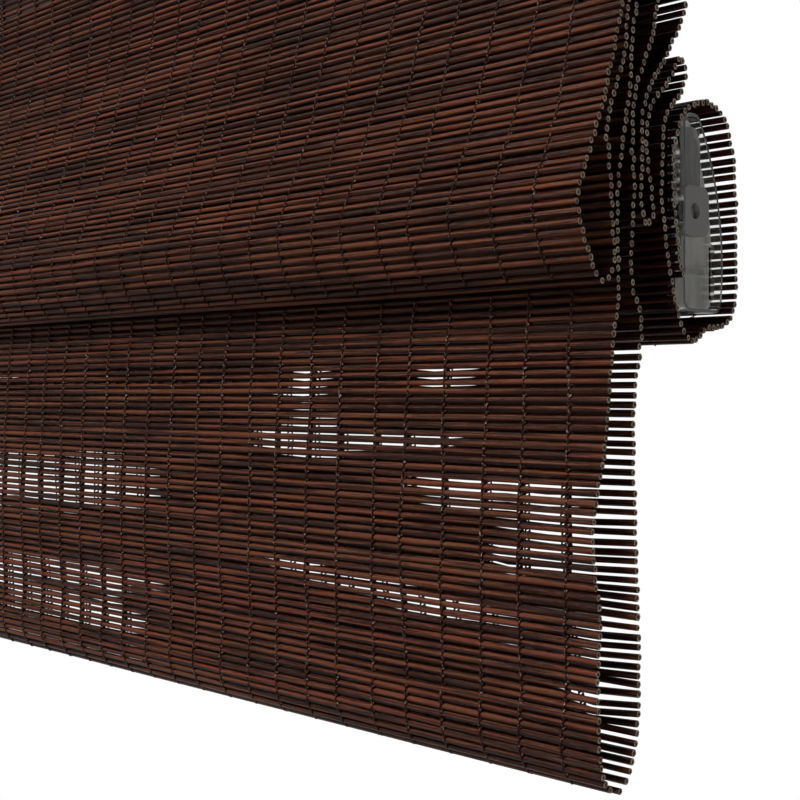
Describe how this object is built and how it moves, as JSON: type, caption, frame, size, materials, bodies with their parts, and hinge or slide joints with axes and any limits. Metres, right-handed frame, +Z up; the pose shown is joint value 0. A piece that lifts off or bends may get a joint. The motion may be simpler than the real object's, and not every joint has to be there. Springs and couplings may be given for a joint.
{
  "type": "bamboo roman blind",
  "caption": "Dark woven reed blind drawn up into loose folds, hung from a wooden headrail on wall brackets, with a spring-lift bottom rail closed by clear end caps.",
  "frame": {"origin": "centre of the four wall screw holes, on the plane of the wall", "axes": "+X along the reeds to the blind's right end, +Y into the wall, +Z up"},
  "size_m": [0.61, 0.078, 0.3308],
  "materials": {
    "reed_mat": "dark stained reeds, satin lacquer",
    "headrail_wood": "planed softwood, brown stain",
    "bracket_steel": "zinc plated",
    "stop_brass": "plain",
    "lift_cord": "braided polyester",
    "white_plastic": "moulded",
    "rail_aluminium": "dark bronze anodised extrusion",
    "clear_plastic": "clear moulded, glossy",
    "grey_plastic": "moulded",
    "shaft_steel": "bright"
  },
  "bodies": {
    "headrail": {"headrail_board": "headrail_wood", "wall_bracket_left": "bracket_steel", "wall_bracket_right": "bracket_steel", "bracket_screws": "bracket_steel", "cord_stop_left": "stop_brass", "cord_stop_right": "stop_brass", "front_panel": "reed_mat", "front_fold": "reed_mat", "lift_cord_left": "lift_cord", "lift_cord_right": "lift_cord"},
    "bottom_rail": {"folded_stack": "reed_mat", "cord_rings": "white_plastic", "bottom_rail_tube": "rail_aluminium", "end_cap_left": "clear_plastic", "end_cap_right": "clear_plastic", "cord_bush_left": "white_plastic", "cord_bush_right": "white_plastic", "spool_cradle_left": "white_plastic", "spool_cradle_right": "white_plastic", "motor_case": "grey_plastic", "motor_cover": "grey_plastic", "drum_axle": "shaft_steel"},
    "lift_spools": {"lift_shaft": "shaft_steel", "cord_spool_left": "white_plastic", "cord_spool_right": "white_plastic", "power_drum": "white_plastic"},
    "spring_store": {"storage_drum": "white_plastic", "flat_spring": "shaft_steel"}
  },
  "joints": [
    {"name": "lift", "type": "slide", "parent": "headrail", "child": "bottom_rail", "axis": [0, 0, 1], "range_m": [-0.18, 0], "deforming": ["front_fold", "lift_cord_left", "lift_cord_right"]},
    {"name": "spool_spin", "type": "hinge", "parent": "bottom_rail", "child": "lift_spools", "pos_m": [0, -0.01975, -0.178], "axis": [1, 0, 0], "range_deg": [-2900, 0]},
    {"name": "store_spin", "type": "hinge", "parent": "bottom_rail", "child": "spring_store", "pos_m": [0, -0.01975, -0.1656], "axis": [1, 0, 0], "range_deg": [0, 1660]}
  ],
  "couplings": [
    {"joint": "spool_spin", "follows": "lift", "rad_per_m": 277.78},
    {"joint": "store_spin", "follows": "lift", "rad_per_m": -160}
  ]
}
